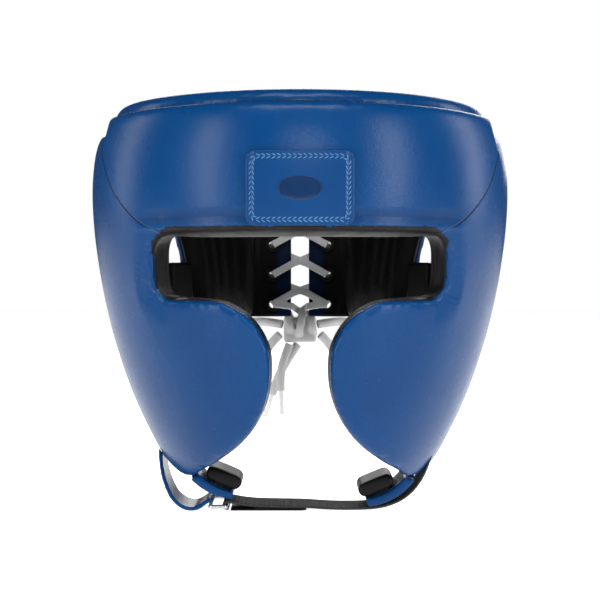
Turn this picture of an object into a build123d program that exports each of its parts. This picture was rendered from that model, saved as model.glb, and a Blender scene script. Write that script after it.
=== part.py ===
from build123d import *
import math
import os

os.makedirs("parts", exist_ok=True)

# Boxing headgear. Millimetres, +Z up, the face looks towards -Y, the wearer's left is +X.
# It stands on its chin strap, with the floor at Z = 0.

# ---- padded wall -----------------------------------------------------------
# The outer skin is a stack of ovals: half its width at each height above the floor.
skin_stations = [(8, 66), (40, 86), (75, 101), (115, 112.2), (155, 118.8), (187, 120.3), (212, 117), (232, 110)]
skin_depth_ratio = 1.04     # depth of the outer oval over its width
skin_centre_y = 0
# The head cavity is a second stack of ovals inside it.
cavity_stations = [(8, 46), (40, 57), (75, 69), (115, 79), (155, 83), (187, 84), (212, 82.5), (232, 80)]
cavity_depth_ratio = 1.2
cavity_centre_y = 6
# The rear pads draw in towards the neck: height, half-width and half-depth of their outer and inner ovals.
rear_skin_stations = [(90, 74, 103), (110, 76, 110), (141, 81.5, 116), (155, 85, 117.6), (180, 93, 119), (205, 103, 117),
                      (232, 108, 108)]
rear_cavity_stations = [(90, 60, 88), (110, 62, 93.5), (141, 67, 98.2), (155, 70, 99.6), (180, 77, 100.6),
                        (205, 83.5, 99.8), (232, 82, 96)]

skin_thickness = 1.8        # outer leather
lining_thickness = 2.0      # inner leather
layer_gap = 0.3             # between two layers of one pad
seam_gap = 0.5              # between two pads that are sewn together
body_gap = 0.6              # between two pads that move apart

# ---- outlines --------------------------------------------------------------
wall_top = 213.5            # top of the side and rear pads
brow_top = 223              # top of the forehead pad
brow_bottom = 155           # top of the eye slot
slot_bottom = 121
slot_half_width = 76
slot_corner_radius = 9
mouth_half_width = 14       # at the narrowest place between the cheeks
mouth_height = 87
cheek_tip_x = 62
cheek_tip_z = 18.5
ear_front_y = 31            # rear edge of the side pads
rear_front_y = 46           # front edge of the rear pads
ear_slot_top = 198
ear_band_bottom = 110
ear_band_top = 141
ear_band_thickness = 5
rear_bottom = 105
rear_half_gap = 6           # half the laced gap at the back

# ---- rim and crown ---------------------------------------------------------
rim_radius = 100
rim_roll_radius = 8
rim_height = 222            # middle of the roll
crown_flap_thickness = 7
crown_half_gap = 7
crown_edge_gap = 0.7        # between a crown flap and the rim roll
crown_half_length = 50
crown_rise = 9              # from the rim to the lacing
crown_corner_radius = 14
crown_lining_thickness = 1.2

# ---- lacing ----------------------------------------------------------------
lace_margin_edge_x = 30     # where the laced leather margin meets the padded part
lace_margin_depth = 2.5     # how far it lies under the outer skin
lace_margin_thickness = 4
eyelet_x = 21
eyelet_first_z = 111.5
eyelet_pitch = 20.5
eyelet_rows = 5
eyelet_bore_radius = 2.6
eyelet_wall = 0.5
eyelet_flange_radius = 4.8
eyelet_flange_thickness = 0.8
eyelet_gap = 0.6
crown_eyelet_x = 17
crown_eyelet_pitch = 24
crown_eyelet_rows = 4
lace_width = 5
lace_thickness = 1.2
crown_lace_thickness = 1    # the same lace, pressed flat over the crown
crown_lace_gap = 0.1
knot_half_width = 11
knot_depth = 12
knot_height = 17
knot_y = 116.5
cord_radius = 2.5
aglet_radius = 1.7
aglet_length = 16

# ---- chin strap ------------------------------------------------------------
strap_y = -22               # middle of the strap
elastic_width = 25
elastic_thickness = 1.4
fold_end_x = 4              # free end of the part that folds back
closure_thickness = 0.9
hook_thickness = 0.5
ring_x = -46
ring_z = 2.95
ring_wire_radius = 1.1
ring_bar_spacing = 9.4      # between the two bars that the straps go round
ring_inner_length = 31
ring_strap_width = 30
ring_strap_thickness = 2.2
tab_depth = 34
tab_lift = {1: 0, -1: 4.2}   # the right tab lies over the ring
chin_pad_depth = 30
chin_pad_thickness = 8.4

# ---- front patch -----------------------------------------------------------
patch_width = 55
patch_height = 38
patch_centre_z = 177
patch_corner_radius = 5
patch_thickness = 1.4

far = 200                   # past every face of the headgear


# ==== helpers ===============================================================
def oval_stack(ovals, centre_y, grow):
    """Solid lofted through (height, half-width, half-depth) ovals, each grown by the same amount all round."""
    with BuildPart() as stack:
        for height, half_width, half_depth in ovals:
            with BuildSketch(Plane.XY.offset(height)):
                with Locations((0, centre_y)):
                    Ellipse(half_depth + grow, half_width + grow, rotation=90)
        loft()
    return stack.part


def skin_solid(inset):
    """The front and sides of the outer skin."""
    ovals = [(height, half_width, half_width * skin_depth_ratio) for height, half_width in skin_stations]
    return oval_stack(ovals, skin_centre_y, -inset)


def cavity_solid(grow):
    """The front and sides of the head cavity."""
    ovals = [(height, half_width, half_width * cavity_depth_ratio) for height, half_width in cavity_stations]
    return oval_stack(ovals, cavity_centre_y, grow)


def rear_skin_solid(inset):
    return oval_stack(rear_skin_stations, cavity_centre_y, -inset)


def rear_cavity_solid(grow):
    return oval_stack(rear_cavity_stations, cavity_centre_y, grow)


def size_at(sizes, z):
    """A size of a stack at a height, on the smooth curve through its (height, size) places."""
    profile = Edge.make_spline([Vector(size, height) for height, size in sizes])
    low, high = 0.0, 1.0
    for _ in range(30):
        middle = (low + high) / 2
        if (profile @ middle).Y < z:
            low = middle
        else:
            high = middle
    return (profile @ low).X


def back_of_skin(x, z):
    """Y of the outer skin at the back."""
    half_width = size_at([(height, width) for height, width, depth in rear_skin_stations], z)
    half_depth = size_at([(height, depth) for height, width, depth in rear_skin_stations], z)
    return cavity_centre_y + half_depth * math.sqrt(1 - (x / half_width) ** 2)


def back_outward(x, z):
    """Direction straight out of the skin at the back."""
    across = back_of_skin(x + 1, z) - back_of_skin(x - 1, z)
    up = back_of_skin(x, z + 1) - back_of_skin(x, z - 1)
    return Vector(-across / 2, 1, -up / 2).normalized()


def along_x(outline, start, end):
    """A sketch drawn on the YZ plane, extruded from one X to another."""
    with BuildPart() as block:
        with BuildSketch(Plane.YZ.offset(start)):
            add(outline)
        extrude(amount=end - start)
    return block.part


def along_y(outline, start, end):
    """A sketch drawn on the XZ plane, extruded from one Y to another."""
    with BuildPart() as block:
        with BuildSketch(Plane.XZ.offset(-end)):
            add(outline)
        extrude(amount=end - start)
    return block.part


def ribbon(route, middle_y, width, thickness):
    """A flat strap swept along a smooth line of (x, z) places, its width along Y."""
    with BuildPart() as band:
        with BuildLine() as path:
            Spline(*[(x, middle_y, z) for x, z in route])
        start = Plane(origin=path.line @ 0, x_dir=(0, 1, 0), z_dir=path.line % 0)
        with BuildSketch(start):
            Rectangle(width, thickness)
        sweep()
    return band.part


def lace_strip(points):
    """A flat lace laid along the back from point to point, its ends run on by its own thickness."""
    with BuildPart() as strip:
        for first, second in zip(points, points[1:]):
            run = Vector(*second) - Vector(*first)
            middle = (Vector(*second) + Vector(*first)) * 0.5
            outward = back_outward(middle.X, middle.Z)
            flat = outward - run * (outward.dot(run) / run.length ** 2)
            with BuildSketch(Plane(origin=middle, x_dir=run, z_dir=flat)):
                Rectangle(run.length + lace_thickness, lace_width)
            extrude(amount=lace_thickness / 2, both=True)
    return strip.part


def cord(points, name):
    """A round tube along straight runs joined by tangent arcs; prints its bend radii."""
    places = [Vector(*point) for point in points]
    runs = [second - first for first, second in zip(places, places[1:])]
    radii = []
    for first, second in zip(runs, runs[1:]):
        turn = math.radians(first.get_angle(second))
        radii.append(0.45 * min(first.length, second.length) / math.tan(turn / 2))
    with BuildPart() as tube:
        with BuildLine() as path:
            FilletPolyline(*places, radius=radii)
        with BuildSketch(Plane(origin=path.line @ 0, z_dir=path.line % 0)):
            Circle(cord_radius)
        sweep()
    length = path.wire().length
    volume_share = tube.part.volume / (math.pi * cord_radius ** 2 * length)
    print(name, "radii", [round(r, 1) for r in radii], "length", round(length, 1), "share", round(volume_share, 4))
    return tube.part


def save(piece, label):
    piece.label = label
    export_step(piece, f"parts/{label}.step")


# ==== outlines ==============================================================
def brow_outline(inset):
    """Side view of the forehead pad: flat under, its rear edge rises in a curve to the rim."""
    with BuildSketch(Plane.XY) as outline:
        with BuildLine():
            seam = ThreePointArc((-96, brow_bottom), (-71, 178), (-36, brow_top + 6))
            Polyline(seam @ 1, (-far, brow_top + 6), (-far, brow_bottom), seam @ 0)
        make_face()
        if inset:
            offset(amount=-inset, kind=Kind.INTERSECTION)
    return outline.sketch


def side_outline(inset):
    """Side view of the side pad: under the seam, down to the cheek tip, up to the ear slot."""
    with BuildSketch(Plane.XY) as outline:
        with BuildLine():
            seam = ThreePointArc((-96, brow_bottom - seam_gap), (-71 + seam_gap, 178 - seam_gap),
                                 (-36 + seam_gap, brow_top + 6))
            jaw = ThreePointArc((-40, cheek_tip_z), (13, 46), (ear_front_y, ear_band_bottom))
            Polyline(seam @ 1, (rear_front_y - body_gap, brow_top + 6), (rear_front_y - body_gap, ear_slot_top),
                     (ear_front_y, ear_slot_top), jaw @ 1)
            Polyline(jaw @ 0, (-far, cheek_tip_z), (-far, brow_bottom - seam_gap), seam @ 0)
        make_face()
        if inset:
            offset(amount=-inset, kind=Kind.INTERSECTION)
    return outline.sketch


def face_outline(grow):
    """Front view of the eye slot and the gap between the cheeks."""
    with BuildSketch(Plane.XY) as outline:
        with BuildLine():
            upper = ThreePointArc((43, slot_bottom), (mouth_half_width + 9, slot_bottom - 11),
                                  (mouth_half_width, mouth_height))
            lower = ThreePointArc((mouth_half_width, mouth_height), (mouth_half_width + 5, 61), (39, 36))
            Polyline((0, brow_bottom), (slot_half_width, brow_bottom), (slot_half_width, slot_bottom), upper @ 0)
            Polyline(lower @ 1, (cheek_tip_x, cheek_tip_z), (cheek_tip_x + 3, 0), (0, 0), (0, brow_bottom))
        make_face()
        slot_corners = outline.vertices().filter_by(lambda v: v.X > slot_half_width - 1 and v.Y > slot_bottom - 1)
        fillet(slot_corners, radius=slot_corner_radius)
        mirror(about=Plane.YZ)
        if grow:
            offset(amount=grow, kind=Kind.INTERSECTION)
    return outline.sketch


# ==== shared solids =========================================================
edge = skin_thickness + layer_gap


def wall_solids(outer, inner):
    """Outer and inner boundaries of each layer of a padded wall."""
    return {"skin": outer(0), "pocket": outer(skin_thickness), "foam_skin": outer(edge),
            "cavity": inner(0), "lined_cavity": inner(lining_thickness), "foam_cavity": inner(lining_thickness + layer_gap)}


front_wall = wall_solids(skin_solid, cavity_solid)
rear_wall = wall_solids(rear_skin_solid, rear_cavity_solid)


def brow_block(body, inset):
    """The part of a solid that lies in the forehead pad, its edges drawn in by an inset."""
    with BuildPart() as block:
        add(body)
        add(along_x(brow_outline(inset), -far, far), mode=Mode.INTERSECT)
        with BuildSketch(Plane.XY.offset(wall_top - inset)):
            with Locations((0, skin_centre_y)):
                Circle(rim_radius + rim_roll_radius + seam_gap + inset)
        extrude(amount=far, mode=Mode.SUBTRACT)
        with BuildSketch(Plane.XY.offset(brow_top - inset)):
            Rectangle(2 * far, 2 * far)
        extrude(amount=far, mode=Mode.SUBTRACT)
    return block.part


def side_block(body, inset, side):
    """The part of a solid that lies in one side pad, its edges drawn in by an inset."""
    near = mouth_half_width / 2
    start, end = (near, far) if side > 0 else (-far, -near)
    with BuildPart() as block:
        add(body)
        add(along_x(side_outline(inset), start, end), mode=Mode.INTERSECT)
        add(along_y(face_outline(inset), -far, 0), mode=Mode.SUBTRACT)
        with BuildSketch(Plane.XY.offset(wall_top - inset)):
            Rectangle(2 * far, 2 * far)
        extrude(amount=far, mode=Mode.SUBTRACT)
    return block.part


def rear_block(body, inset, side):
    """The part of a solid that lies in one rear pad, its edges drawn in by an inset."""
    near = lace_margin_edge_x + seam_gap + inset
    front = rear_front_y + inset
    with BuildPart() as block:
        add(body)
        with BuildSketch(Plane.XY.offset(rear_bottom + inset)):
            with Locations((side * (near + far) / 2, (front + far) / 2)):
                Rectangle(far - near, far - front)
        extrude(amount=wall_top - rear_bottom - 2 * inset, mode=Mode.INTERSECT)
    return block.part


def pad(name, wall, block):
    """One pad: a leather cover that is open inwards, a foam core in it and a lining over the core."""
    with BuildPart() as foam:
        add(block(wall["foam_skin"], edge))
        add(wall["foam_cavity"], mode=Mode.SUBTRACT)
    save(foam.part, f"{name}_foam")
    with BuildPart() as cover:
        add(block(wall["skin"], 0))
        add(wall["foam_cavity"], mode=Mode.SUBTRACT)
        add(block(wall["pocket"], skin_thickness), mode=Mode.SUBTRACT)
    save(cover.part, f"{name}_cover")
    with BuildPart() as lining:
        add(block(wall["lined_cavity"], 0))
        add(wall["cavity"], mode=Mode.SUBTRACT)
    save(lining.part, f"{name}_lining")


def cheek_clearance(side):
    """A side pad with the seam gap all round it, to cut what is sewn on beside it."""
    with BuildPart() as space:
        add(side_block(skin_solid(-seam_gap), -seam_gap, side))
        add(cavity_solid(-seam_gap), mode=Mode.SUBTRACT)
    return space.part


# ==== pads ==================================================================
side_names = {1: "left", -1: "right"}
pad("forehead", front_wall, brow_block)
for side, side_name in side_names.items():
    pad(f"{side_name}_side", front_wall, lambda body, inset: side_block(body, inset, side))
    pad(f"{side_name}_rear", rear_wall, lambda body, inset: rear_block(body, inset, side))

# ==== ear bands =============================================================
# Each band runs in from the side pad's rear edge to the front edge of the rear pad.
ear_band_front_x = 77.5
ear_band_rear_x = 66.5
band_front_y = ear_front_y + layer_gap
band_rear_y = rear_front_y - body_gap - layer_gap
for side, side_name in side_names.items():
    with BuildPart() as ear_band:
        with BuildSketch(Plane.XY.offset(ear_band_bottom)):
            with BuildLine():
                Polyline((side * ear_band_front_x, band_front_y), (side * ear_band_rear_x, band_rear_y),
                         (side * (ear_band_rear_x + ear_band_thickness), band_rear_y),
                         (side * (ear_band_front_x + ear_band_thickness), band_front_y), close=True)
            make_face()
        extrude(amount=ear_band_top - ear_band_bottom)
    save(ear_band.part, f"{side_name}_ear_band")

# ==== front patch ===========================================================
with BuildPart() as front_patch:
    add(skin_solid(-layer_gap - patch_thickness))
    with BuildSketch(Plane.XZ.offset(-skin_centre_y)):
        with Locations((0, patch_centre_z)):
            RectangleRounded(patch_width, patch_height, patch_corner_radius)
    extrude(amount=far, mode=Mode.INTERSECT)
    add(skin_solid(-layer_gap), mode=Mode.SUBTRACT)
save(front_patch.part, "front_patch")


# ==== rim roll ==============================================================
def rim_roll(start_angle, arc, name):
    """A stretch of the padded roll along the top, by angles about the middle of the headgear."""
    radial = Vector(math.cos(math.radians(start_angle)), math.sin(math.radians(start_angle)), 0)
    tangent = Vector(-radial.Y, radial.X, 0)
    middle = Vector(0, skin_centre_y, rim_height) + radial * rim_radius
    with BuildPart() as roll:
        with BuildSketch(Plane(origin=middle, x_dir=radial, z_dir=tangent)):
            Circle(rim_roll_radius)
        revolve(axis=Axis((0, skin_centre_y, 0), (0, 0, 1)), revolution_arc=arc)
    save(roll.part, name)


front_roll_end = math.degrees(math.asin((rear_front_y - body_gap - skin_centre_y) / rim_radius))
rear_roll_start = math.degrees(math.asin((rear_front_y - skin_centre_y) / rim_radius))
rear_roll_end = math.degrees(math.acos(rear_half_gap / rim_radius))
rear_roll_arc = rear_roll_end - rear_roll_start
rim_roll(180 - front_roll_end, 180 + 2 * front_roll_end, "rim_roll")
rim_roll(rear_roll_start, rear_roll_arc, "left_rear_roll")
rim_roll(180 - rear_roll_end, rear_roll_arc, "right_rear_roll")


# ==== crown =================================================================
crown_edge_radius = rim_radius - rim_roll_radius - crown_edge_gap


def crown_top_z(x):
    """Height of the crown flaps' upper face: it eases off as it nears the lacing."""
    share = (crown_edge_radius - x) / (crown_edge_radius - crown_half_gap)
    return rim_height + crown_flap_thickness / 2 + crown_rise * (1 - (1 - share) ** 2)


def crown_layer(top, bottom):
    """A layer of the right crown flap, between two depths under its upper face."""
    places = [crown_half_gap, (crown_half_gap + crown_edge_radius) / 2, crown_edge_radius]
    upper = [(-x, crown_top_z(x) - top) for x in places]
    lower = [(-x, crown_top_z(x) - bottom) for x in places]
    with BuildPart() as layer:
        with BuildSketch(Plane.XZ.offset(-far / 2)):
            with BuildLine():
                ThreePointArc(*upper)
                ThreePointArc(*lower)
                Line(upper[0], lower[0])
                Line(upper[-1], lower[-1])
            make_face()
        extrude(amount=far)
        with BuildSketch(Plane.XY.offset(rim_height - far / 2)) as plan:
            with Locations((0, skin_centre_y)):
                Circle(crown_edge_radius)
            with Locations((-crown_half_gap - far / 2, skin_centre_y)):
                Rectangle(far, 2 * crown_half_length, mode=Mode.INTERSECT)
            laced_corners = plan.vertices().filter_by(lambda v: abs(v.X) < crown_half_gap + 1)
            fillet(laced_corners, radius=crown_corner_radius)
        extrude(amount=far, mode=Mode.INTERSECT)
        with Locations(*[(-crown_eyelet_x, y, rim_height) for y in crown_eyelet_places]):
            Cylinder(eyelet_bore_radius + eyelet_wall + eyelet_gap / 2, far, mode=Mode.SUBTRACT)
        with BuildSketch(Plane.XY.offset(crown_seat_z)):
            with Locations(*[(-crown_eyelet_x, y) for y in crown_eyelet_places]):
                Circle(eyelet_flange_radius + eyelet_gap)
        extrude(amount=far, mode=Mode.SUBTRACT)
    return layer.part


crown_eyelet_places = [skin_centre_y + (row - (crown_eyelet_rows - 1) / 2) * crown_eyelet_pitch
                       for row in range(crown_eyelet_rows)]
crown_seat_z = crown_top_z(crown_eyelet_x + eyelet_flange_radius) - eyelet_gap
crown_lining_bottom = crown_flap_thickness + layer_gap + crown_lining_thickness
crown_layers = {"crown_flap": crown_layer(0, crown_flap_thickness),
                "crown_lining": crown_layer(crown_flap_thickness + layer_gap, crown_lining_bottom)}
for layer_name, layer in crown_layers.items():
    save(layer, f"right_{layer_name}")
    save(layer.mirror(Plane.YZ), f"left_{layer_name}")

for side, side_name in side_names.items():
    with BuildPart() as crown_eyelets:
        with BuildSketch(Plane.XY.offset(crown_seat_z + eyelet_gap / 2)):
            with Locations(*[(side * crown_eyelet_x, y) for y in crown_eyelet_places]):
                Circle(eyelet_flange_radius)
        extrude(amount=eyelet_flange_thickness)
        with BuildSketch(Plane.XY.offset(crown_seat_z + eyelet_gap / 2)):
            with Locations(*[(side * crown_eyelet_x, y) for y in crown_eyelet_places]):
                Circle(eyelet_bore_radius + eyelet_wall)
        extrude(amount=-crown_lining_bottom)
        with Locations(*[(side * crown_eyelet_x, y, rim_height) for y in crown_eyelet_places]):
            Cylinder(eyelet_bore_radius, far, mode=Mode.SUBTRACT)
    save(crown_eyelets.part, f"{side_name}_crown_eyelets")

# The crown lace lies over the flaps: a cross between each two rows and a bar at each end.
crown_flange_top = crown_seat_z + eyelet_gap / 2 + eyelet_flange_thickness
crown_lace_z = crown_flange_top + crown_lace_gap + crown_lace_thickness / 2
with BuildPart() as crown_lace:
    for near_y, next_y in zip(crown_eyelet_places, crown_eyelet_places[1:]):
        for side in side_names:
            run = Vector(-2 * side * crown_eyelet_x, next_y - near_y)
            middle = Vector(0, (near_y + next_y) / 2, crown_lace_z)
            with BuildSketch(Plane(origin=middle, x_dir=run, z_dir=(0, 0, 1))):
                Rectangle(run.length, lace_width)
            extrude(amount=crown_lace_thickness / 2, both=True)
    for y in (crown_eyelet_places[0], crown_eyelet_places[-1]):
        with Locations((0, y, crown_lace_z)):
            Box(2 * crown_eyelet_x, lace_width, crown_lace_thickness)
save(crown_lace.part, "crown_lace")

# ==== laced margin at the back ==============================================
margin_middle_depth = lace_margin_depth + lace_margin_thickness / 2
eyelet_heights = [eyelet_first_z + row * eyelet_pitch for row in range(eyelet_rows)]


def margin_place(x, z, lift):
    """A place on the laced margin, lifted from its middle along the way out of the headgear."""
    return Vector(x, back_of_skin(x, z), z) + back_outward(x, z) * (lift - margin_middle_depth)


with BuildPart() as margin_shell:
    add(rear_skin_solid(lace_margin_depth))
    add(rear_skin_solid(lace_margin_depth + lace_margin_thickness), mode=Mode.SUBTRACT)

for side, side_name in side_names.items():
    eyelet_planes = []
    for z in eyelet_heights:
        eyelet_planes.append(Plane(origin=margin_place(side * eyelet_x, z, 0), x_dir=(1, 0, 0),
                                   z_dir=back_outward(side * eyelet_x, z)))
    with BuildPart() as margin:
        add(margin_shell.part)
        with BuildSketch(Plane.XY.offset(rear_bottom)):
            with Locations((side * (rear_half_gap + lace_margin_edge_x) / 2, far / 2)):
                Rectangle(lace_margin_edge_x - rear_half_gap, far)
        extrude(amount=wall_top - rear_bottom, mode=Mode.INTERSECT)
        with Locations(*eyelet_planes):
            Cylinder(eyelet_bore_radius + eyelet_wall + eyelet_gap / 2, 3 * lace_margin_thickness, mode=Mode.SUBTRACT)
    save(margin.part, f"{side_name}_lace_margin")
    flange_lift = lace_margin_thickness / 2 + eyelet_gap + eyelet_flange_thickness / 2
    with BuildPart() as rear_eyelets:
        with Locations(*eyelet_planes):
            Cylinder(eyelet_bore_radius + eyelet_wall, 2 * flange_lift)
            with Locations((0, 0, flange_lift), (0, 0, -flange_lift)):
                Cylinder(eyelet_flange_radius, eyelet_flange_thickness)
            Cylinder(eyelet_bore_radius, 4 * lace_margin_thickness, mode=Mode.SUBTRACT)
    save(rear_eyelets.part, f"{side_name}_rear_eyelets")

# ==== rear lace =============================================================
over_flange = lace_margin_thickness / 2 + 2 * eyelet_gap + eyelet_flange_thickness + lace_thickness / 2
knot_top = rear_bottom - seam_gap
with BuildPart() as rear_lace:
    for low, high in zip(eyelet_heights, eyelet_heights[1:]):
        for side in side_names:
            step = (high - low) * (eyelet_x - rear_half_gap) / (2 * eyelet_x)
            inside = [margin_place(-side * eyelet_x, low, -over_flange),
                      margin_place(-side * rear_half_gap, low + step, -over_flange)]
            outside = [margin_place(side * rear_half_gap, high - step, over_flange),
                       margin_place(side * eyelet_x, high, over_flange)]
            add(lace_strip(inside + outside))
    for side in side_names:
        add(lace_strip([margin_place(side * eyelet_x, eyelet_heights[0], -over_flange),
                        margin_place(side * rear_half_gap, knot_top + lace_width, -over_flange),
                        Vector(side, knot_y, knot_top + lace_width / 2 + 3 * lace_thickness / 2)]))
    add(lace_strip([margin_place(-eyelet_x, eyelet_heights[-1], -over_flange),
                    margin_place(eyelet_x, eyelet_heights[-1], -over_flange)]))
save(rear_lace.part, "rear_lace")

# ==== knot, bow and tails ===================================================
knot_z = knot_top - knot_height / 2
with BuildPart() as lace_knot:
    with Locations((0, knot_y, knot_z)):
        Box(2 * knot_half_width, knot_depth, knot_height)
    fillet(lace_knot.edges().filter_by(Axis.Z), radius=2.5)
save(lace_knot.part, "lace_knot")

# Places along one bow loop, out from the knot and back to it.
bow_start_x = knot_half_width + 1.1
bow_end_x = knot_half_width + cord_radius + 0.4
bow_points = [(bow_start_x, 118, 99.5), (24, 122, 101.6), (37, 126, 100.3), (49.5, 128, 94), (58.5, 129, 82),
              (61.5, 129, 67.2), (59.3, 129, 54.9), (49.8, 128.5, 46.8), (37.2, 127.5, 46.8), (27.7, 126, 54.9),
              (25.5, 124.5, 67.2), (23.5, 122.5, 80), (19, 120.5, 87.5), (bow_end_x, 118.5, 92.5)]
save(cord(bow_points, "left bow"), "left_bow_loop")
save(cord([(-x, y, z) for x, y, z in bow_points], "right bow"), "right_bow_loop")

# Places along each loose end, down from the knot to the start of its tip.
knot_bottom = knot_z - knot_height / 2
tail_routes = {
    "front": [(-7, 112.5, knot_bottom - 1), (-10.5, 111.8, 77.5), (-13.5, 111.5, 66), (-13, 111.5, 55)],
    "rear": [(-1.5, 117, knot_bottom - 1.3), (-8.5, 117.6, 75.5), (-15, 117.6, 64), (-19, 117.6, 52)],
}
for tail_name, route in tail_routes.items():
    save(cord(route, f"{tail_name} tail"), f"{tail_name}_lace_tail")
    last, before = Vector(*route[-1]), Vector(*route[-2])
    down = (last - before).normalized()
    with BuildPart() as aglet:
        with BuildSketch(Plane(origin=last + down * 0.1, z_dir=down)):
            Circle(aglet_radius)
        extrude(amount=aglet_length)
    save(aglet.part, f"{tail_name}_aglet")

# ==== chin tabs and pads ====================================================
clearance = {side: cheek_clearance(side) for side in side_names}
for side, side_name in side_names.items():
    with BuildPart() as chin_tab:
        with BuildSketch(Plane.XZ.offset(-strap_y - tab_depth / 2)):
            with BuildLine():
                lift = tab_lift[side]
                under = Spline((side * 38, 2.9 + lift), (side * 55, 8.6 + lift), (side * 66, 20 + lift),
                               (side * 70, 40 + lift))
                over = Spline((side * 37.2, 7.2 + lift), (side * 52, 12.9 + lift), (side * 61.2, 23 + lift),
                              (side * 64.5, 40 + lift))
                Line(under @ 0, over @ 0)
                Line(under @ 1, over @ 1)
            make_face()
        extrude(amount=tab_depth)
        add(clearance[side], mode=Mode.SUBTRACT)
    save(chin_tab.part, f"{side_name}_chin_tab")
    with BuildPart() as chin_pad:
        with BuildSketch(Plane.XZ.offset(-strap_y - chin_pad_depth / 2)):
            SlotCenterPoint((side * 43, 14.4 + tab_lift[side]), (side * 37, 11.9 + tab_lift[side]), chin_pad_thickness)
        extrude(amount=chin_pad_depth)
    save(chin_pad.part, f"{side_name}_chin_pad")

# ==== ring strap ============================================================
# Leather strap from the right side pad down to the ring; it leans back as it rises.
ring_bar_x = ring_x - ring_bar_spacing / 2
ring_strap_route = [(ring_bar_x + 1.9, 5.5), (ring_bar_x - 0.2, 6.1), (ring_bar_x - 2.7, 4.8), (-57.5, 2.1),
                    (-62.5, 1.35), (-70, 5.2), (-75.5, 13), (-79.5, 25), (-80.5, 36), (-80.5, 47), (-80.5, 60)]
strap_front = strap_y - ring_strap_width / 2
with BuildPart() as ring_strap:
    add(ribbon(ring_strap_route, 0, far, ring_strap_thickness))
    with BuildSketch(Plane.YZ.offset(-far)) as strap_side:
        with BuildLine():
            Polyline((strap_front, -5), (strap_front, 7), (-4, 60), (4, 70), (18, 70), (25, 60),
                     (strap_front + ring_strap_width, 7), (strap_front + ring_strap_width, -5), (strap_front, -5))
        make_face()
    extrude(amount=far, mode=Mode.INTERSECT)
    add(clearance[-1], mode=Mode.SUBTRACT)
save(ring_strap.part, "ring_strap")

# ==== chin strap ============================================================
with BuildPart() as strap_ring:
    with BuildSketch(Plane.XY.offset(ring_z)):
        with Locations((ring_x, strap_y)):
            RectangleRounded(ring_bar_spacing + 2 * ring_wire_radius, ring_inner_length + 4 * ring_wire_radius, 3)
            RectangleRounded(ring_bar_spacing - 2 * ring_wire_radius, ring_inner_length, 1, mode=Mode.SUBTRACT)
    extrude(amount=ring_wire_radius, both=True)
    fillet(strap_ring.edges().group_by(Axis.Z)[-1] + strap_ring.edges().group_by(Axis.Z)[0], radius=0.9)
save(strap_ring.part, "strap_ring")

# The elastic starts under the ring's bar, turns up round it, runs under the chin and up to the left side pad.
elastic_bar_x = ring_x + ring_bar_spacing / 2
elastic_route = [(elastic_bar_x + 1, 0.95), (elastic_bar_x - 1.25, 1.35), (elastic_bar_x - 2.15, 2.95),
                 (elastic_bar_x - 1.25, 4.6), (elastic_bar_x + 1, 5), (-34, 3.7), (-26, 2.6), (-8, 2.4), (5, 2.2),
                 (16, 1.05), (34, 0.95), (46, 1.75), (56, 4.9), (64, 10.8), (69.6, 19), (73.5, 29), (76, 42)]
with BuildPart() as chin_elastic:
    add(ribbon(elastic_route, strap_y, elastic_width, elastic_thickness))
    add(clearance[1], mode=Mode.SUBTRACT)
save(chin_elastic.part, "chin_elastic")

fold_start_x = elastic_bar_x + 1.8
fold_middle_x = (fold_start_x + fold_end_x) / 2
with BuildPart() as closure_tab:
    with BuildSketch(Plane.XY):
        with Locations((fold_middle_x, strap_y)):
            Rectangle(fold_end_x - fold_start_x, elastic_width)
    extrude(amount=closure_thickness)
    fillet(closure_tab.edges().filter_by(Axis.Z).group_by(Axis.X)[-1], radius=4)
save(closure_tab.part, "closure_tab")

hook_inset = 2
with BuildPart() as hook_strip:
    with BuildSketch(Plane.XY.offset(closure_thickness)):
        with Locations((fold_middle_x + 6, strap_y)):
            Rectangle(fold_end_x - fold_start_x - 16, elastic_width - 2 * hook_inset)
    extrude(amount=hook_thickness)
save(hook_strip.part, "hook_strip")
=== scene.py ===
import math

import bpy
from mathutils import Matrix, Vector


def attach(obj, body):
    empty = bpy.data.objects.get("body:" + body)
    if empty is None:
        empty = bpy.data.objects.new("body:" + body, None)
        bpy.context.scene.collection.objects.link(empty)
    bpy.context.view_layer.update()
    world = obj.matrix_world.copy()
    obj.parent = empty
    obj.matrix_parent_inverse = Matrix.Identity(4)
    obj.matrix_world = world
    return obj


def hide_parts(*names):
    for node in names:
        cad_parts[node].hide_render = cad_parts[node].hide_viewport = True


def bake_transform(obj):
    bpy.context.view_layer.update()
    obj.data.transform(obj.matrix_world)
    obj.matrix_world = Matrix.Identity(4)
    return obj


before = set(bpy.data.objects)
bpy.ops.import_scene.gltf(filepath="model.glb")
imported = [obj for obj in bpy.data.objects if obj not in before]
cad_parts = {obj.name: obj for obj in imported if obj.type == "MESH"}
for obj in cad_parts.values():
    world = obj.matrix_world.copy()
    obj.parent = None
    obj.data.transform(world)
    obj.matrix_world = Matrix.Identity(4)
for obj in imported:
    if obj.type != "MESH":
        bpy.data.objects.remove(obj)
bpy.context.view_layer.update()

mm = 0.001
scene = bpy.context.scene
print("frame loaded")


def deselectAll():
    if bpy.context.object and bpy.context.object.mode != "OBJECT":
        bpy.ops.object.mode_set(mode="OBJECT")
    bpy.ops.object.select_all(action="DESELECT")


def activate(obj):
    deselectAll()
    obj.select_set(True)
    bpy.context.view_layer.objects.active = obj


def applyModifier(obj, kind, **settings):
    activate(obj)
    modifier = obj.modifiers.new(kind.title(), kind)
    for key, value in settings.items():
        setattr(modifier, key, value)
    bpy.ops.object.modifier_apply(modifier=modifier.name)


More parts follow.
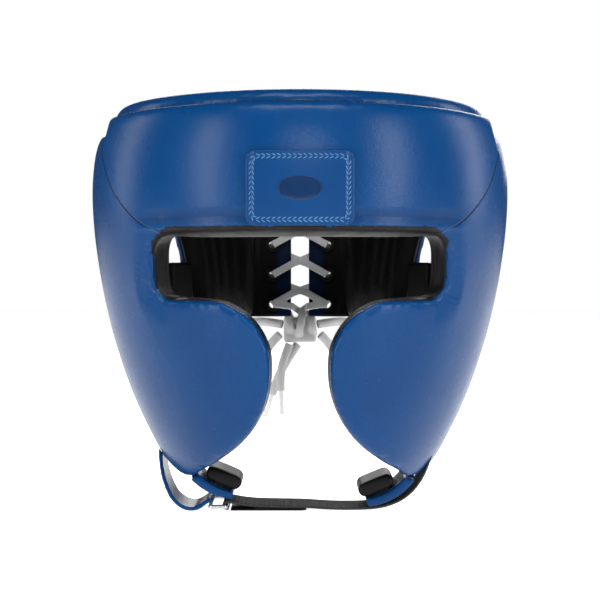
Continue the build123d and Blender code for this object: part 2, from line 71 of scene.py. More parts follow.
def editMesh(obj, *steps):
    # each step is a bpy.ops.mesh call that acts on the whole mesh
    activate(obj)
    bpy.ops.object.mode_set(mode="EDIT")
    bpy.ops.mesh.select_all(action="SELECT")
    for step in steps:
        step()
    bpy.ops.object.mode_set(mode="OBJECT")


def smoothShading(obj, angle=None):
    activate(obj)
    if angle is None:
        bpy.ops.object.shade_smooth()
    else:
        bpy.ops.object.shade_smooth_by_angle(angle=math.radians(angle))


def copyNodes(name, *nodes):
    # a welded copy of some CAD nodes as one new mesh
    deselectAll()
    copies = []
    for node in nodes:
        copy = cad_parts[node].copy()
        copy.data = copy.data.copy()
        for key in list(copy.keys()):
            del copy[key]
        copy.parent = None
        copy.hide_render = copy.hide_viewport = False
        copy.data.materials.clear()
        scene.collection.objects.link(copy)
        copies.append(copy)
    for copy in copies:
        copy.select_set(True)
    bpy.context.view_layer.objects.active = copies[0]
    if len(copies) > 1:
        bpy.ops.object.join()
    obj = bpy.context.object
    obj.name = name
    editMesh(obj, lambda: bpy.ops.mesh.remove_doubles(threshold=0.00001))
    return obj


def finishPiece(obj, body, material, slotName, *nodes):
    obj.data.materials.clear()
    obj.data.materials.append(material)
    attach(obj, body)
    if nodes:
        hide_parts(*nodes)
    return obj


class Value:
    # a number in a shader tree that can be written in expressions

    def __init__(self, tree, socket):
        self.tree, self.socket = tree, socket

    def math(self, operation, *others):
        node = self.tree.nodes.new("ShaderNodeMath")
        node.operation = operation
        for place, item in enumerate((self, *others)):
            if isinstance(item, Value):
                self.tree.links.new(item.socket, node.inputs[place])
            else:
                node.inputs[place].default_value = item
        return Value(self.tree, node.outputs[0])

    def __add__(self, other):
        return self.math("ADD", other)

    __radd__ = __add__

    def __sub__(self, other):
        return self.math("SUBTRACT", other)

    def __rsub__(self, other):
        return self.math("MULTIPLY", -1.0).math("ADD", other)

    def __mul__(self, other):
        return self.math("MULTIPLY", other)

    __rmul__ = __mul__

    def __truediv__(self, other):
        return self.math("DIVIDE", other)

    def __pow__(self, other):
        return self.math("POWER", other)

    def __abs__(self):
        return self.math("ABSOLUTE")

    def sin(self):
        return self.math("SINE")

    def clamp(self):
        return self.math("MINIMUM", 1.0).math("MAXIMUM", 0.0)

    def above(self, edge, width):
        return ((self - edge) / width + 0.5).clamp()

    def line(self, width):
        return (1 - abs(self) / width).clamp()


class Finish:
    # one material with a Principled shader, and the ways to add nodes to it

    def __init__(self, name, color, roughness, metallic=0.0, **sockets):
        self.material = bpy.data.materials.new(name)
        self.material.use_nodes = True
        self.tree = self.material.node_tree
        self.shader = self.tree.nodes["Principled BSDF"]
        self.set("Base Color", (*color, 1))
        self.set("Roughness", roughness)
        self.set("Metallic", metallic)
        for key, value in sockets.items():
            self.set(key.replace("_", " "), value)
        self.coordinates = self.node("ShaderNodeTexCoord")

    def node(self, kind, settings=None, **inputs):
        made = self.tree.nodes.new(kind)
        for key, value in (settings or {}).items():
            setattr(made, key, value)
        for key, value in inputs.items():
            socket = made.inputs[key.replace("_", " ")]
            if isinstance(value, Value):
                self.tree.links.new(value.socket, socket)
            elif isinstance(value, bpy.types.NodeSocket):
                self.tree.links.new(value, socket)
            else:
                socket.default_value = value
        return made

    def set(self, key, value):
        socket = self.shader.inputs[key]
        if isinstance(value, Value):
            self.tree.links.new(value.socket, socket)
        elif isinstance(value, bpy.types.NodeSocket):
            self.tree.links.new(value, socket)
        else:
            socket.default_value = value

    def value(self, socket):
        return Value(self.tree, socket)

    def attribute(self, name):
        return self.value(self.node("ShaderNodeAttribute", {"attribute_name": name}).outputs["Fac"])

    def axes(self, source="Object"):
        split = self.node("ShaderNodeSeparateXYZ", Vector=self.coordinates.outputs[source])
        return [self.value(split.outputs[axis]) for axis in "XYZ"]

    def mapped(self, scale, source="Object"):
        return self.node("ShaderNodeMapping", Vector=self.coordinates.outputs[source], Scale=scale).outputs[0]

    def noise(self, scale, detail=2.0, stretch=(1, 1, 1), distortion=0.0):
        made = self.node("ShaderNodeTexNoise", Vector=self.mapped(stretch), Scale=scale, Detail=detail,
                         Distortion=distortion)
        return self.value(made.outputs["Fac"])

    def cells(self, scale, feature="F1", stretch=(1, 1, 1)):
        made = self.node("ShaderNodeTexVoronoi", {"feature": feature}, Vector=self.mapped(stretch),
                         Scale=scale)
        return self.value(made.outputs["Distance"])

    def blend(self, mask, low, high):
        made = self.node("ShaderNodeMix", {"data_type": "RGBA"})
        self.tree.links.new(mask.socket, made.inputs[0])
        for place, color in ((6, low), (7, high)):
            if isinstance(color, bpy.types.NodeSocket):
                self.tree.links.new(color, made.inputs[place])
            else:
                made.inputs[place].default_value = (*color, 1)
        return made.outputs[2]

    def bump(self, height, strength, distance):
        made = self.node("ShaderNodeBump", Height=height, Strength=strength, Distance=distance)
        self.set("Normal", made.outputs[0])


cameraSize = {"place": (0, -0.792, 0.135), "lens": 80.4, "shiftY": -0.0467}

cameraData = bpy.data.cameras.new("camera")
cameraData.lens = cameraSize["lens"]
cameraData.sensor_width = 36
cameraData.shift_y = cameraSize["shiftY"]
camera = bpy.data.objects.new("camera", cameraData)
camera.location = cameraSize["place"]
camera.rotation_euler = (math.radians(90), 0, 0)
scene.collection.objects.link(camera)
scene.camera = camera
scene.view_settings.view_transform = "Standard"

stageSize = {"floor": 8.0, "light": 0.05, "glow": 0.93}

bpy.ops.mesh.primitive_plane_add(size=stageSize["floor"])
floor = bpy.context.object
floor.name = "floor"
floorFinish = Finish("paleFloor", (0.9, 0.9, 0.9), 0.3)
floorFinish.set("Emission Color", (1, 1, 1, 1))
floorFinish.set("Emission Strength", stageSize["glow"])
floor.data.materials.append(floorFinish.material)

world = bpy.data.worlds.new("softStudio")
scene.world = world
world.use_nodes = True
worldNodes, worldLinks = world.node_tree.nodes, world.node_tree.links
dimmer = worldNodes["Background"]
dimmer.inputs["Color"].default_value = (1, 1, 1, 1)
dimmer.inputs["Strength"].default_value = stageSize["light"]
paper = worldNodes.new("ShaderNodeBackground")  # the white sweep behind the headgear
paper.inputs["Color"].default_value = (1, 1, 1, 1)
seenDirectly = worldNodes.new("ShaderNodeLightPath")
eitherOne = worldNodes.new("ShaderNodeMixShader")
worldLinks.new(seenDirectly.outputs["Is Camera Ray"], eitherOne.inputs[0])
worldLinks.new(dimmer.outputs[0], eitherOne.inputs[1])
worldLinks.new(paper.outputs[0], eitherOne.inputs[2])
worldLinks.new(eitherOne.outputs[0], worldNodes["World Output"].inputs["Surface"])


def softLight(name, place, target, size, power):
    data = bpy.data.lights.new(name, "AREA")
    data.shape = "RECTANGLE"
    data.size, data.size_y = size
    data.energy = power
    lamp = bpy.data.objects.new(name, data)
    lamp.location = place
    lamp.rotation_euler = (Vector(target) - Vector(place)).to_track_quat("-Z", "Y").to_euler()
    scene.collection.objects.link(lamp)
    return lamp


softLight("leftBox", (-1.25, -1.05, 0.55), (0, 0, 0.16), (0.26, 1.1), 15)
softLight("rightBox", (1.25, -1.05, 0.55), (0, 0, 0.16), (0.26, 1.1), 17)
softLight("topBox", (0, -0.75, 1.45), (0, 0, 0.14), (1.0, 0.30), 13)
softLight("frontFill", (0.1, -1.6, 0.75), (0, 0, 0.13), (0.5, 0.3), 6)
softLight("rightEdge", (1.35, 0.35, 0.55), (0, 0, 0.16), (0.3, 0.9), 6)
softLight("leftEdge", (-1.35, 0.35, 0.55), (0, 0, 0.16), (0.3, 0.9), 4)
softLight("backBox", (0.2, 1.6, 0.75), (0, 0, 0.14), (1.2, 0.9), 14)
print("camera, floor and lights ready")


blueLeather = {"color": (0.0010, 0.0370, 0.1330), "deep": (0.0008, 0.0300, 0.1120), "roughness": 0.27}
blackLeather = {"color": (0.0052, 0.0048, 0.0048), "roughness": 0.44}
navyLeather = {"color": (0.0022, 0.0080, 0.0300), "roughness": 0.42}


def leatherGrain(finish, scale=1.0):
    # small pebbles with pores between them
    pebbles = finish.cells(1100 * scale, "SMOOTH_F1")
    pores = finish.noise(2600 * scale, 3)
    return pebbles * 0.6 + pores * 0.5


def leatherFinish(name, look, grain=0.10, **sockets):
    finish = Finish(name, look["color"], look["roughness"], Specular_IOR_Level=0.13, **sockets)
    mottle = finish.noise(28, 4).above(0.5, 0.5)
    deep = look.get("deep", tuple(channel * 0.7 for channel in look["color"]))
    finish.set("Base Color", finish.blend(mottle, look["color"], deep))
    finish.set("Roughness", finish.noise(60, 3) * 0.08 + (look["roughness"] - 0.04))
    finish.bump(leatherGrain(finish), grain, 0.0003)
    return finish


def padFinish(name):
    # blue leather outside, black lining past the "lining" line, a sewn seam where "seam" passes zero
    finish = Finish(name, blueLeather["color"], blueLeather["roughness"], Specular_IOR_Level=0.13)
    lining = finish.attribute("lining").above(0.0, 0.35)
    seam = finish.attribute("seam").line(0.75)
    edge = finish.attribute("lining").line(0.9)
    mottle = finish.noise(26, 4).above(0.5, 0.6)
    leather = finish.blend(mottle, blueLeather["color"], blueLeather["deep"])
    leather = finish.blend(seam, leather, (0.0004, 0.0035, 0.0150))
    weave = finish.noise(70, 3, (1, 1, 0.25)).above(0.5, 0.5)
    cloth = finish.blend(weave, blackLeather["color"], (0.010, 0.0095, 0.0095))
    x, y, z = finish.axes()
    brow = (0 - y).above(50 * mm, 20 * mm) * (84 * mm - abs(x)).above(0, 12 * mm)
    browCreaseAndShade = (z - 163 * mm).line(5 * mm) * brow  # the leather draws in above its rolled lower edge; this band is also painted darker as shade in that crease
    # a narrow band along the rolled lower edge, raised in the bump and painted lighter as a highlight
    browRollAndHighlight = (z - 157.5 * mm).line(2.6 * mm) * brow
    # painted shade in the crease band above the roll, then a painted highlight along the roll, blended into
    # the leather colour
    leather = finish.blend(browCreaseAndShade * 0.5, leather, (0.0006, 0.0130, 0.0520))
    leather = finish.blend(browRollAndHighlight * 0.35, leather, (0.0080, 0.0700, 0.2000))
    finish.set("Base Color", finish.blend(lining, leather, cloth))
    soft = finish.noise(60, 3) * 0.08 + (blueLeather["roughness"] - 0.04)
    finish.set("Roughness", soft * (1 - lining) + lining * blackLeather["roughness"])
    # soft upright pleats in the lining, and short creases beside the corners of the eye slot
    around = x.math("ARCTAN2", y - 6 * mm)
    pleats = (around * 46 + finish.noise(9, 2) * 5).sin() * lining * 1.2
    beside = ((abs(x) - 82 * mm) / (7 * mm)) ** 2 + ((z - 132 * mm) / (19 * mm)) ** 2
    front = (0 - y).above(40 * mm, 12 * mm)
    folds = (z * 1500 + x * 500 + finish.noise(70, 3) * 22).sin()
    creases = folds * (1 - beside).clamp() * (1 - lining) * front
    grain = leatherGrain(finish) * 0.25
    wrinkles = finish.noise(190, 3, (1, 1, 0.5)) * lining * 0.9
    raised = grain + pleats + creases * 0.25 + wrinkles + browRollAndHighlight
    finish.bump(raised - seam * 2.2 - edge * 1.6 - browCreaseAndShade * 1.5, 0.55, 0.0006)
    return finish


padLook = padFinish("paddedLeather")
rollLook = leatherFinish("rollLeather", blueLeather, 0.14)
tabLook = leatherFinish("tabLeather", blueLeather, 0.16)


def marginFinish():
    # navy leather by the laced gap, black lining farther in
    finish = Finish("marginLeather", navyLeather["color"], navyLeather["roughness"], Specular_IOR_Level=0.13)
    lining = finish.attribute("lining").above(0.0, 1.0)
    finish.set("Base Color", finish.blend(lining, navyLeather["color"], blackLeather["color"]))
    wrinkles = finish.noise(190, 3, (1, 1, 0.5)) * lining * 0.8
    finish.bump(leatherGrain(finish) * 0.3 + wrinkles, 0.5, 0.0005)
    return finish


marginLook = marginFinish()
blackLook = leatherFinish("chinLeather", blackLeather, 0.2)


def wovenFinish(name, light, dark, roughness, pitch, ribPitch=None):
    # threads crossing in two diagonals, with ribs along the strap where it has them
    finish = Finish(name, light, roughness)
    x, y, z = finish.axes()
    turn = 2 * math.pi / (pitch * mm)
    first = ((x + y + z) * turn).sin()
    second = ((x - y - z) * turn).sin()
    weave = (first * second + 1) * 0.5
    fuzz = finish.noise(900, 2)
    finish.set("Base Color", finish.blend((weave * 0.6 + fuzz * 0.4).clamp(), dark, light))
    height = weave + fuzz * 0.5
    if ribPitch:
        height = height + (x * (2 * math.pi / (ribPitch * mm))).sin() * 1.6
    finish.bump(height, 0.5, 0.0003)
    return finish


laceLook = wovenFinish("wovenLace", (0.62, 0.62, 0.615), (0.40, 0.40, 0.40), 0.72, 1.1)
elasticLook = wovenFinish("ribbedElastic", (0.030, 0.029, 0.030), (0.009, 0.009, 0.010), 0.8, 1.0, 2.2)
threadLook = leatherFinish("thread", {"color": (0.075, 0.19, 0.36), "roughness": 0.6}, 0.3)
tipLook = Finish("lacetip", (0.70, 0.70, 0.69), 0.3, Coat_Weight=0.3)
metalLook = Finish("nickel", (0.46, 0.46, 0.47), 0.3, 1.0)
metalLook.set("Roughness", metalLook.noise(300, 3) * 0.16 + 0.18)
metalLook.bump(metalLook.noise(1500, 2), 0.06, 0.0001)
hookLook = Finish("hookTape", (0.012, 0.012, 0.013), 0.85)
hookLook.bump(hookLook.cells(1500), 0.8, 0.0004)
eyeletLook = Finish("blackenedBrass", (0.030, 0.029, 0.028), 0.34, 0.8)
eyeletLook.set("Roughness", eyeletLook.noise(400, 3) * 0.2 + 0.26)
eyeletLook.bump(eyeletLook.noise(1400, 2), 0.08, 0.0001)
print("finishes ready")


cordSize = {"diameter": 5.0, "drawn": 5.8, "bowShare": 0.955, "tailShare": 0.995}
bowRoute = [(12.1, 118, 99.5), (24, 122, 101.6), (37, 126, 100.3), (49.5, 128, 94), (58.5, 129, 82),
            (61.5, 129, 67.2), (59.3, 129, 54.9), (49.8, 128.5, 46.8), (37.2, 127.5, 46.8), (27.7, 126, 54.9),
            (25.5, 124.5, 67.2), (23.5, 122.5, 80), (19, 120.5, 87.5), (13.9, 118.5, 92.5)]
tailRoutes = {
    "front": [(-7, 112.5, 86.5), (-10.5, 111.8, 77.5), (-13.5, 111.5, 66), (-13, 111.5, 55)],
    "rear": [(-1.5, 117, 86.2), (-8.5, 117.6, 75.5), (-15, 117.6, 64), (-19, 117.6, 52)],
}


def laceCord(name, route, *nodes):
    data = bpy.data.curves.new(name, "CURVE")
    data.dimensions = "3D"
    spline = data.splines.new("NURBS")
    spline.points.add(len(route) - 1)
    for point, place in zip(spline.points, route):
        point.co = (*(Vector(place) * mm), 1)
    spline.order_u = 3
    spline.use_endpoint_u = True
    data.resolution_u = 12
    data.bevel_depth = cordSize["drawn"] / 2 * mm
    data.bevel_resolution = 4
    data.use_fill_caps = True
    obj = bpy.data.objects.new(name, data)
    scene.collection.objects.link(obj)
    finishPiece(obj, "shell", laceLook.material, "lace", *nodes)
    start = Vector(route[0]) * mm
    length = sum((Vector(b) - Vector(a)).length for a, b in zip(route, route[1:])) * mm
    return obj, start, length


def mirrored(route):
    return [(-x, y, z) for x, y, z in route]


for sideName, route in (("left", bowRoute), ("right", mirrored(bowRoute))):
    node = f"{sideName}_bow_loop"
    obj, start, length = laceCord(f"{sideName}BowLoop", route, node)
for tailName, route in tailRoutes.items():
    node = f"{tailName}_lace_tail"
    obj, start, length = laceCord(f"{tailName}LaceTail", route, node)
print("cords ready")


padSize = {
    "voxel": 2.6, "smoothing": 16, "pressure": 2.6, "cap": 2.2,
    "frontOvals": [(8, 66, 68.6), (40, 86, 89.4), (75, 101, 105), (115, 112.2, 116.7), (155, 118.8, 123.6),
                   (187, 120.3, 125.1), (212, 117, 121.7), (232, 110, 114.4)],
    "rearOvals": [(90, 74, 103), (110, 76, 110), (141, 81.5, 116), (155, 85, 117.6), (180, 93, 119),
                  (205, 103, 117), (232, 108, 108)],
    "rearMiddleY": 6,
    "leatherDepth": 3.6,
    "seamMiddle": (-71, 178), "seamStart": (-96, 155), "seamEnd": (-36, 229),
}


def ovalAt(ovals, z):
    # half-width and half-depth of a stack of ovals at a height
    if z <= ovals[0][0]:
        return ovals[0][1:]
    for low, high in zip(ovals, ovals[1:]):
        if z <= high[0]:
            share = (z - low[0]) / (high[0] - low[0])
            return low[1] + (high[1] - low[1]) * share, low[2] + (high[2] - low[2]) * share
    return ovals[-1][1:]


def depthUnderSkin(ovals, x, y, z):
    # about how far a point lies inside the outer surface, in millimetres
    halfWidth, halfDepth = ovalAt(ovals, z)
    return (1 - math.hypot(x / halfWidth, y / halfDepth)) * halfWidth


def circleThrough(first, second, third):
    (ax, ay), (bx, by), (cx, cy) = first, second, third
    d = 2 * (ax * (by - cy) + bx * (cy - ay) + cx * (ay - by))
    a, b, c = ax * ax + ay * ay, bx * bx + by * by, cx * cx + cy * cy
    ux = (a * (by - cy) + b * (cy - ay) + c * (ay - by)) / d
    uy = (a * (cx - bx) + b * (ax - cx) + c * (bx - ax)) / d
    return ux, uy, math.hypot(ax - ux, ay - uy)


def remesh(obj, voxel):
    applyModifier(obj, "REMESH", mode="VOXEL", voxel_size=voxel * mm)


def inflate(obj, pressure, cap):
    # a short cloth simulation swells the leather over its foam, up to a cap
    if pressure == 0:
        return
    rest = [v.co.copy() for v in obj.data.vertices]
    activate(obj)
    cloth = obj.modifiers.new("Cloth", "CLOTH")
    cloth.settings.quality = 4
    cloth.settings.use_pressure = True
    cloth.settings.uniform_pressure_force = pressure
    cloth.settings.tension_stiffness = 30
    cloth.settings.compression_stiffness = 30
    cloth.settings.bending_stiffness = 2
    cloth.settings.effector_weights.gravity = 0
    cloth.collision_settings.use_collision = False
    cloth.point_cache.frame_start, cloth.point_cache.frame_end = 1, 20
    for step in range(1, 21):
        scene.frame_set(step)
    bpy.ops.object.modifier_apply(modifier=cloth.name)
    scene.frame_set(1)
    for vertex, place in zip(obj.data.vertices, rest):
        move = vertex.co - place
        if move.length > cap * mm:
            vertex.co = place + move.normalized() * cap * mm


def floatAttribute(obj, name, values):
    attribute = obj.data.attributes.new(name, "FLOAT", "POINT")
    attribute.data.foreach_set("value", values)


def markPad(obj, liningAt, seamAt):
    # writes the two distances, in millimetres, that the padded leather's finish reads
    lining, seam = [], []
    for vertex in obj.data.vertices:
        x, y, z = vertex.co / mm
        lining.append(liningAt(x, y, z, vertex.normal))
        seam.append(seamAt(x, y, z))
    floatAttribute(obj, "lining", lining)
    floatAttribute(obj, "seam", seam)


def makePad(name, body, nodes, liningAt, seamAt):
    obj = copyNodes(name, *nodes)
    remesh(obj, padSize["voxel"])
    applyModifier(obj, "SMOOTH", factor=0.5, iterations=padSize["smoothing"])
    inflate(obj, padSize["pressure"], padSize["cap"])
    applyModifier(obj, "SUBSURF", levels=1, render_levels=1)
    smoothShading(obj)
    markPad(obj, liningAt, seamAt)
    finishPiece(obj, body, padLook.material, "blue_leather", *nodes)
    return obj


seamX, seamZ, seamRadius = circleThrough(padSize["seamStart"], padSize["seamMiddle"], padSize["seamEnd"])


def frontLining(x, y, z, normal):
    if normal.z < -0.35 and abs(x) < 78 and y < -50 and z > 145:
        return 3.0  # the gusset under the forehead
    return depthUnderSkin(padSize["frontOvals"], x, y, z) - padSize["leatherDepth"]


def frontSeam(x, y, z):
    if z < padSize["seamStart"][1] - 4 or depthUnderSkin(padSize["frontOvals"], x, y, z) > 12:
        return 99.0
    return math.hypot(y - seamX, z - seamZ) - seamRadius


def rearLining(x, y, z, normal):
    depth = depthUnderSkin(padSize["rearOvals"], x, y - padSize["rearMiddleY"], z)
    return depth - 4.5


def noSeam(x, y, z):
    return 99.0


layers = ("cover", "foam", "lining")
frontNodes = [f"{pad}_{layer}" for pad in ("forehead", "left_side", "right_side") for layer in layers]
makePad("frontPads", "shell", frontNodes, frontLining, frontSeam)
for sideName in ("left", "right"):
    makePad(f"{sideName}RearPad", f"{sideName}_rear", [f"{sideName}_rear_{layer}" for layer in layers],
            rearLining, noSeam)
print("padded pieces ready")


def softCopy(name, body, nodes, voxel, smoothing, finish, slotName, pressure=0, cap=1.0):
    obj = copyNodes(name, *nodes)
    remesh(obj, voxel)
    applyModifier(obj, "SMOOTH", factor=0.5, iterations=smoothing)
    inflate(obj, pressure, cap)
    applyModifier(obj, "SUBSURF", levels=1, render_levels=1)
    smoothShading(obj)
    finishPiece(obj, body, finish.material, slotName, *nodes)
    return obj


def marginLining(x, y, z, normal):
    return abs(x) - 16 if normal.y < 0 else -5.0


softCopy("rimRoll", "shell", ["rim_roll"], 2.5, 3, rollLook, "blue_leather")
for sideName in ("left", "right"):
    rear, crown = f"{sideName}_rear", f"{sideName}_crown"
    softCopy(f"{sideName}RearRoll", rear, [f"{rear}_roll"], 2.5, 3, rollLook, "blue_leather")
    flap = softCopy(f"{sideName}CrownFlap", crown, [f"{crown}_flap"], 1.4, 5, rollLook, "blue_leather")
    softCopy(f"{sideName}CrownLining", crown, [f"{crown}_lining"], 0.8, 1, blackLook, "black_lining")
    margin = softCopy(f"{sideName}LaceMargin", rear, [f"{sideName}_lace_margin"], 1.2, 3, marginLook,
                      "dark_blue_leather")
    for vertex in margin.data.vertices:  # its outer edge runs on under the rear pad
        past = abs(vertex.co.x) - 26.5 * mm
        if past > 0:
            vertex.co.x += math.copysign(past * 1.3, vertex.co.x)
    markPad(margin, marginLining, noSeam)
    softCopy(f"{sideName}EarBand", "shell", [f"{sideName}_ear_band"], 1.2, 3, blackLook, "black_lining")
    softCopy(f"{sideName}ChinTab", "shell", [f"{sideName}_chin_tab"], 1.2, 3, tabLook, "blue_leather")
    chinPad = softCopy(f"{sideName}ChinPad", "shell", [f"{sideName}_chin_pad"], 1.5, 5, blackLook,
                       "black_leather", 1.5, 0.8)
print("smaller soft pieces ready")


strapSize = {"middleY": -22, "elasticWidth": 25, "elasticThickness": 1.4, "barX": -41.3}


def strapGrid(name, rows, width, thickness, finish):
    # rows are (middle, across): a flat band whose rows follow them, then given its thickness and rounded
    bpy.ops.mesh.primitive_grid_add(x_subdivisions=len(rows) - 1, y_subdivisions=4, size=1)
    obj = bpy.context.object
    obj.name = name
    for vertex in obj.data.vertices:
        row = round((vertex.co.x + 0.5) * (len(rows) - 1))
        middle, across = rows[row]
        share = vertex.co.y
        vertex.co = (Vector(middle) + Vector(across).normalized() * share * width) * mm
    applyModifier(obj, "SOLIDIFY", thickness=thickness * mm, offset=0, use_even_offset=True)
    applyModifier(obj, "BEVEL", width=0.25 * thickness * mm, segments=2, limit_method="ANGLE")
    applyModifier(obj, "SUBSURF", levels=2, render_levels=2)
    smoothShading(obj)
    obj.data.materials.clear()
    obj.data.materials.append(finish.material)
    return obj


barX = strapSize["barX"]
elasticRoute = [(barX + 1, 0.95), (barX - 1.25, 1.35), (barX - 2.15, 2.95), (barX - 1.25, 4.6), (barX + 1, 5),
                (-34, 3.7), (-26, 2.6), (-8, 2.4), (5, 2.2), (16, 1.05), (34, 0.95), (46, 1.75), (56, 4.9),
                (64, 10.8), (69.6, 19), (72.5, 26), (75, 34)]
elastic = strapGrid("chinElastic", [((x, strapSize["middleY"], z), (0, 1, 0)) for x, z in elasticRoute],
                    strapSize["elasticWidth"], strapSize["elasticThickness"], elasticLook)
finishPiece(elastic, "chin_strap", elasticLook.material, "elastic", "chin_elastic")

softCopy("closureTab", "closure", ["closure_tab"], 0.45, 1, blackLook, "black_leather")

softCopy("ringStrap", "shell", ["ring_strap"], 0.9, 2, tabLook, "blue_leather")
print("straps ready")


laceSize = {"voxel": 0.6, "smoothing": 2, "blendTo": 17}


def laceHalf(region, sideName, sideSign):
    # one side of a laced crossing, cut from the other side at the middle
    half = copyNodes(f"{sideName}{region.title()}Lace", f"{region}_lace")
    remesh(half, laceSize["voxel"])
    applyModifier(half, "SMOOTH", factor=0.5, iterations=laceSize["smoothing"])
    applyModifier(half, "SUBSURF", levels=1, render_levels=1)
    editMesh(half, lambda: bpy.ops.mesh.bisect(plane_co=(0, 0, 0), plane_no=(1, 0, 0), use_fill=True,
                                               clear_inner=sideSign > 0, clear_outer=sideSign < 0))
    smoothShading(half)
    half.data.materials.clear()
    half.data.materials.append(laceLook.material)
    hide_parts(f"{region}_lace")
    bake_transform(half)


for region in ("rear", "crown"):
    laceHalf(region, "left", 1)
    laceHalf(region, "right", -1)


knotSize = {"middle": (0.5, 114.5, 100.5), "half": (12.5, 7.5, 9.5), "strand": 3.0, "wraps": 3}


def knotWrap(offset, halfWidth, halfDepth, halfHeight, lean):
    # one turn of lace round the knot, a flattened ring that leans as it goes
    deselectAll()
    bpy.ops.mesh.primitive_torus_add(major_segments=40, minor_segments=12, major_radius=1, minor_radius=0.26)
    ring = bpy.context.object
    for vertex in ring.data.vertices:
        x, y, z = vertex.co
        outward = math.hypot(x, y)
        tube = outward - 1
        heightShare, depthShare = x / outward, y / outward
        place = Vector((z * knotSize["strand"] / 0.26 + offset + heightShare * lean,
                        depthShare * (halfDepth + tube * 5.0), heightShare * (halfHeight + tube * 5.0)))
        vertex.co = (place + Vector(knotSize["middle"])) * mm
    return ring


knotParts = [copyNodes("laceKnot", "lace_knot")]
applyModifier(knotParts[0], "REMESH", mode="VOXEL", voxel_size=1.2 * mm)
applyModifier(knotParts[0], "SMOOTH", factor=0.5, iterations=10)
for wrap in range(knotSize["wraps"]):
    share = (wrap + 0.5) / knotSize["wraps"] - 0.5
    bulge = 1 - 0.55 * abs(2 * share) ** 2
    knotParts.append(knotWrap(share * 2 * (knotSize["half"][0] - 1.5), 0, knotSize["half"][1] * bulge,
                              knotSize["half"][2] * bulge, 1.6 if wrap % 2 else -1.2))
deselectAll()
for part in knotParts:
    part.select_set(True)
bpy.context.view_layer.objects.active = knotParts[0]
bpy.ops.object.join()
knot = bpy.context.object
knot.name = "laceKnot"
editMesh(knot, lambda: bpy.ops.mesh.normals_make_consistent(inside=False))
remesh(knot, 0.7)
applyModifier(knot, "SMOOTH", factor=0.5, iterations=2)
applyModifier(knot, "SUBSURF", levels=1, render_levels=1)
smoothShading(knot)
finishPiece(knot, "shell", laceLook.material, "lace", "lace_knot")
print("laces ready")


patchSize = {"width": 55, "height": 38, "middleZ": 177, "corner": 5, "stitchInset": 3.2, "stitchLength": 2.5,
             "stitchWidth": 0.62, "stitchTurn": 28, "ovalWidth": 25, "ovalHeight": 13}


def patchFinish():
    # blue leather with a plain pressed oval in the middle and a groove under the sewing
    finish = Finish("patchLeather", blueLeather["color"], 0.33, Specular_IOR_Level=0.13)
    x, y, z = finish.axes()
    across = abs(x / (patchSize["ovalWidth"] / 2 * mm))
    up = abs((z - patchSize["middleZ"] * mm) / (patchSize["ovalHeight"] / 2 * mm))
    oval = (across ** 2 + up ** 2).math("SQRT")
    ring = (oval - 0.86).line(0.14)
    pressed = (1 - oval).above(0.14, 0.06)
    shade = (pressed * 0.8 + ring * 0.4).clamp()
    mottle = finish.noise(28, 4).above(0.5, 0.6)
    leather = finish.blend(mottle, blueLeather["color"], blueLeather["deep"])
    finish.set("Base Color", finish.blend(shade, leather, (0.0008, 0.0120, 0.0480)))
    inset = patchSize["stitchInset"] * mm
    sideGroove = (abs(x) - patchSize["width"] / 2 * mm + inset).line(1.3 * mm)
    endGroove = (abs(z - patchSize["middleZ"] * mm) - patchSize["height"] / 2 * mm + inset).line(1.3 * mm)
    groove = sideGroove.math("MAXIMUM", endGroove)
    finish.bump(leatherGrain(finish) * 0.25 - pressed * 1.2 + ring * 0.6 - groove * 0.9, 0.6, 0.0006)
    return finish


patchLook = patchFinish()
patch = softCopy("frontPatch", "shell", ["front_patch"], 0.6, 2, patchLook, "blue_leather")


def roundedRectangle(width, height, corner, pitch):
    # evenly spaced (x, z, heading) places round a rounded rectangle about the origin
    halfX, halfZ = width / 2 - corner, height / 2 - corner
    places = []
    for quarter in range(4):
        heading = math.pi / 2 * quarter
        cornerX = halfX if quarter in (0, 3) else -halfX
        cornerZ = halfZ if quarter in (0, 1) else -halfZ
        arc = corner * math.pi / 2
        for step in range(max(1, round(arc / pitch))):
            angle = heading + math.pi / 2 * step / max(1, round(arc / pitch))
            places.append((cornerX + corner * math.cos(angle), cornerZ + corner * math.sin(angle),
                           angle + math.pi / 2))
        run = 2 * (halfX if quarter in (0, 2) else halfZ)
        direction = heading + math.pi
        startX = cornerX + corner * math.cos(heading + math.pi / 2)
        startZ = cornerZ + corner * math.sin(heading + math.pi / 2)
        count = max(1, round(run / pitch))
        for step in range(count):
            along = run * step / count
            places.append((startX + along * math.cos(direction), startZ + along * math.sin(direction),
                           direction))
    return places


def onFront(surface, x, z):
    # the place and outward direction where a line from the front meets a surface
    hit, place, normal, _ = surface.ray_cast((x * mm, -0.3, z * mm), (0, 1, 0))
    return (place, normal) if hit else (None, None)


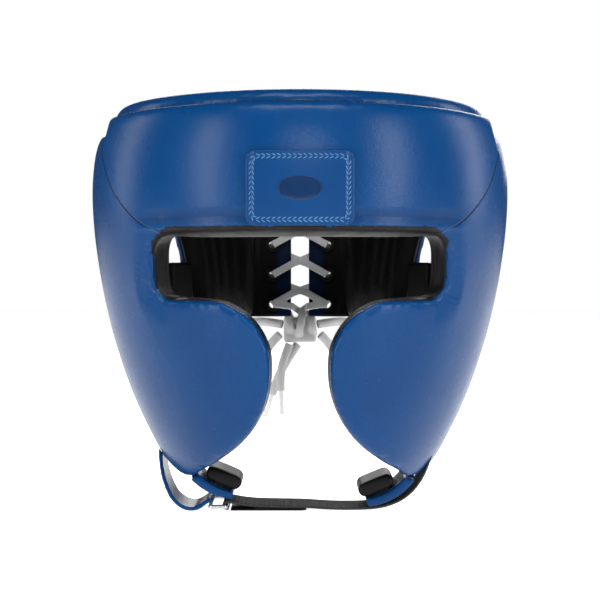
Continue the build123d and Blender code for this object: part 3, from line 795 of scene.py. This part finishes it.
def stitchMaster(length, width):
    deselectAll()
    bpy.ops.mesh.primitive_uv_sphere_add(segments=8, ring_count=6, radius=0.5 * mm)
    stitch = bpy.context.object
    for vertex in stitch.data.vertices:
        vertex.co = (vertex.co.x * length, vertex.co.y * width, vertex.co.z * width * 0.8)
    return stitch


def sewRow(name, places, length, width, finish, body, slotName):
    # one small stitch at each (place, along, outward), all in one mesh
    master = stitchMaster(length, width)
    copies = []
    for place, along, outward in places:
        sideways = outward.cross(along).normalized()
        forward = sideways.cross(outward).normalized()
        copy = master.copy()
        copy.data = master.data.copy()
        turn = Matrix((forward, sideways, outward.normalized())).transposed()
        copy.data.transform(Matrix.Translation(place) @ turn.to_4x4())
        scene.collection.objects.link(copy)
        copies.append(copy)
    bpy.data.objects.remove(master)
    deselectAll()
    for copy in copies:
        copy.select_set(True)
    bpy.context.view_layer.objects.active = copies[0]
    if len(copies) > 1:
        bpy.ops.object.join()
    row = bpy.context.object
    row.name = name
    smoothShading(row)
    return finishPiece(row, body, finish.material, slotName)


patchStitches = []
for rowIndex, inset in enumerate((patchSize["stitchInset"] - 0.75, patchSize["stitchInset"] + 0.75)):
    outline = roundedRectangle(patchSize["width"] - 2 * inset, patchSize["height"] - 2 * inset,
                               patchSize["corner"] - inset + 1.5, 2.6)
    lean = math.radians(patchSize["stitchTurn"] * (1 if rowIndex else -1))
    for x, z, heading in outline:
        place, outward = onFront(patch, x, z + patchSize["middleZ"])
        if place is None:
            continue
        along = Vector((math.cos(heading + lean), 0, math.sin(heading + lean)))
        patchStitches.append((place, along, outward))
sewRow("patchStitching", patchStitches, patchSize["stitchLength"], patchSize["stitchWidth"], threadLook,
       "shell", "lace")
print("patch ready")


keptNodes = {"left_rear_eyelets": eyeletLook, "right_rear_eyelets": eyeletLook,
             "left_crown_eyelets": eyeletLook, "right_crown_eyelets": eyeletLook,
             "strap_ring": metalLook, "hook_strip": hookLook,
             "front_aglet": tipLook, "rear_aglet": tipLook}
for node, finish in keptNodes.items():
    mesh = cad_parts[node].data
    mesh.materials.clear()
    mesh.materials.append(finish.material)

print("all pieces ready")
